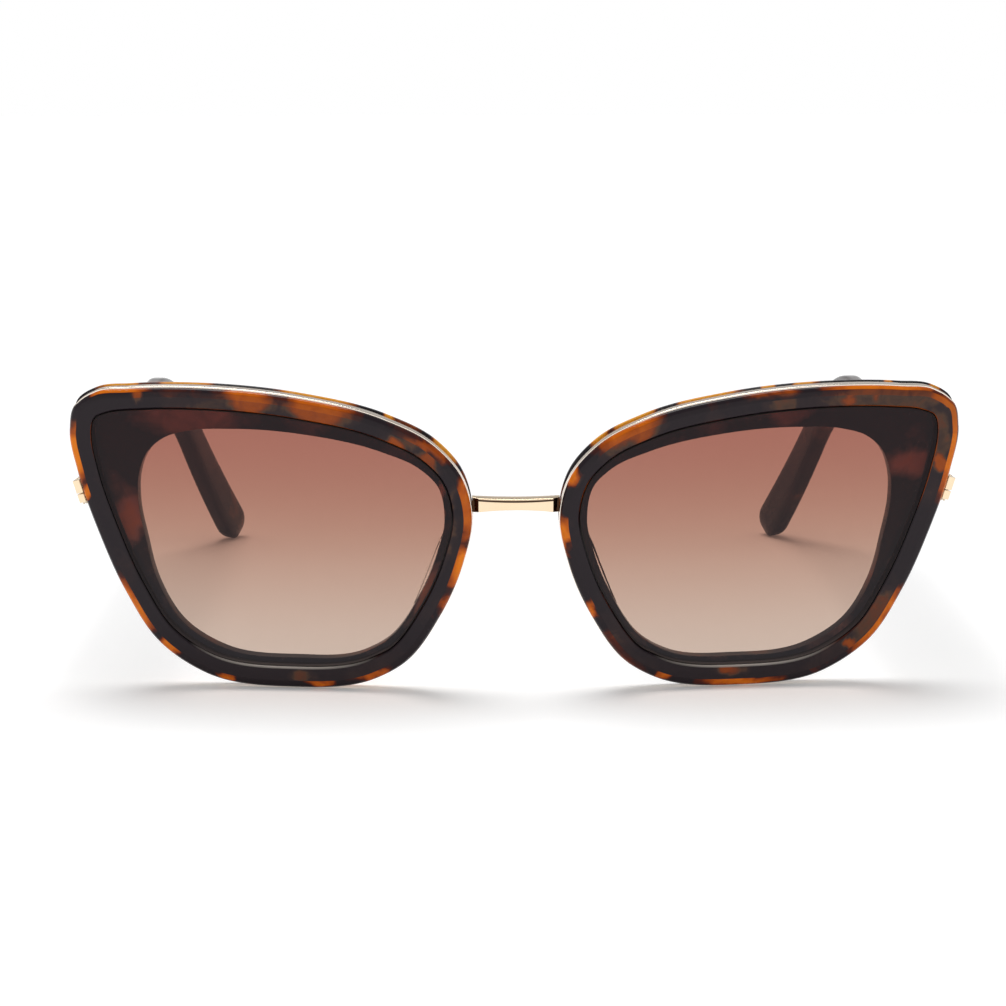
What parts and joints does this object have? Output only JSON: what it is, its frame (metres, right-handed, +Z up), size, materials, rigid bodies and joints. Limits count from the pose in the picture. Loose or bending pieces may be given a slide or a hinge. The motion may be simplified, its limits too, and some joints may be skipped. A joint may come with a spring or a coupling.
{
  "type": "cat eye sunglasses",
  "caption": "Cat eye sunglasses with tortoiseshell acetate rims held in gold eyewires, brown gradient lenses, a gold bridge and folding acetate temples on screwed barrel hinges.",
  "frame": {"origin": "middle of the open glasses' footprint, on the surface that the rims and the temple tips stand on", "axes": "+Z up, -Y towards the front face, +X to the right of someone who looks at the front"},
  "size_m": [0.1408, 0.1486, 0.0494],
  "materials": {
    "acetate": "polished tortoiseshell acetate, near black with amber patches",
    "lens": "clear plastic lens, tinted brown from the top down",
    "gold": "polished pale gold plate",
    "screw": "plated steel screws",
    "core": "plain metal core wire",
    "pad": "clear polished acetate"
  },
  "bodies": {
    "front": {"left_rim": "acetate", "right_rim": "acetate", "left_lens": "lens", "right_lens": "lens", "left_eyewire": "gold", "right_eyewire": "gold", "bridge": "gold", "left_upper_lock": "gold", "right_upper_lock": "gold", "left_lower_lock": "gold", "right_lower_lock": "gold", "closing_screws": "screw", "left_endpiece": "gold", "right_endpiece": "gold", "hinge_screws": "screw", "left_nose_pad": "pad", "right_nose_pad": "pad"},
    "left_arm": {"left_hinge_leaf": "gold", "left_core_wire": "core", "left_temple": "acetate"},
    "right_arm": {"right_hinge_leaf": "gold", "right_core_wire": "core", "right_temple": "acetate"}
  },
  "joints": [
    {"name": "left_temple_fold", "type": "hinge", "parent": "front", "child": "left_arm", "pos_m": [-0.06408, -0.05894, 0.03252], "axis": [0, 0.1175, -0.9931], "range_deg": [0, 88]},
    {"name": "right_temple_fold", "type": "hinge", "parent": "front", "child": "right_arm", "pos_m": [0.06408, -0.05894, 0.03252], "axis": [0, -0.1175, 0.9931], "range_deg": [0, 78]}
  ]
}
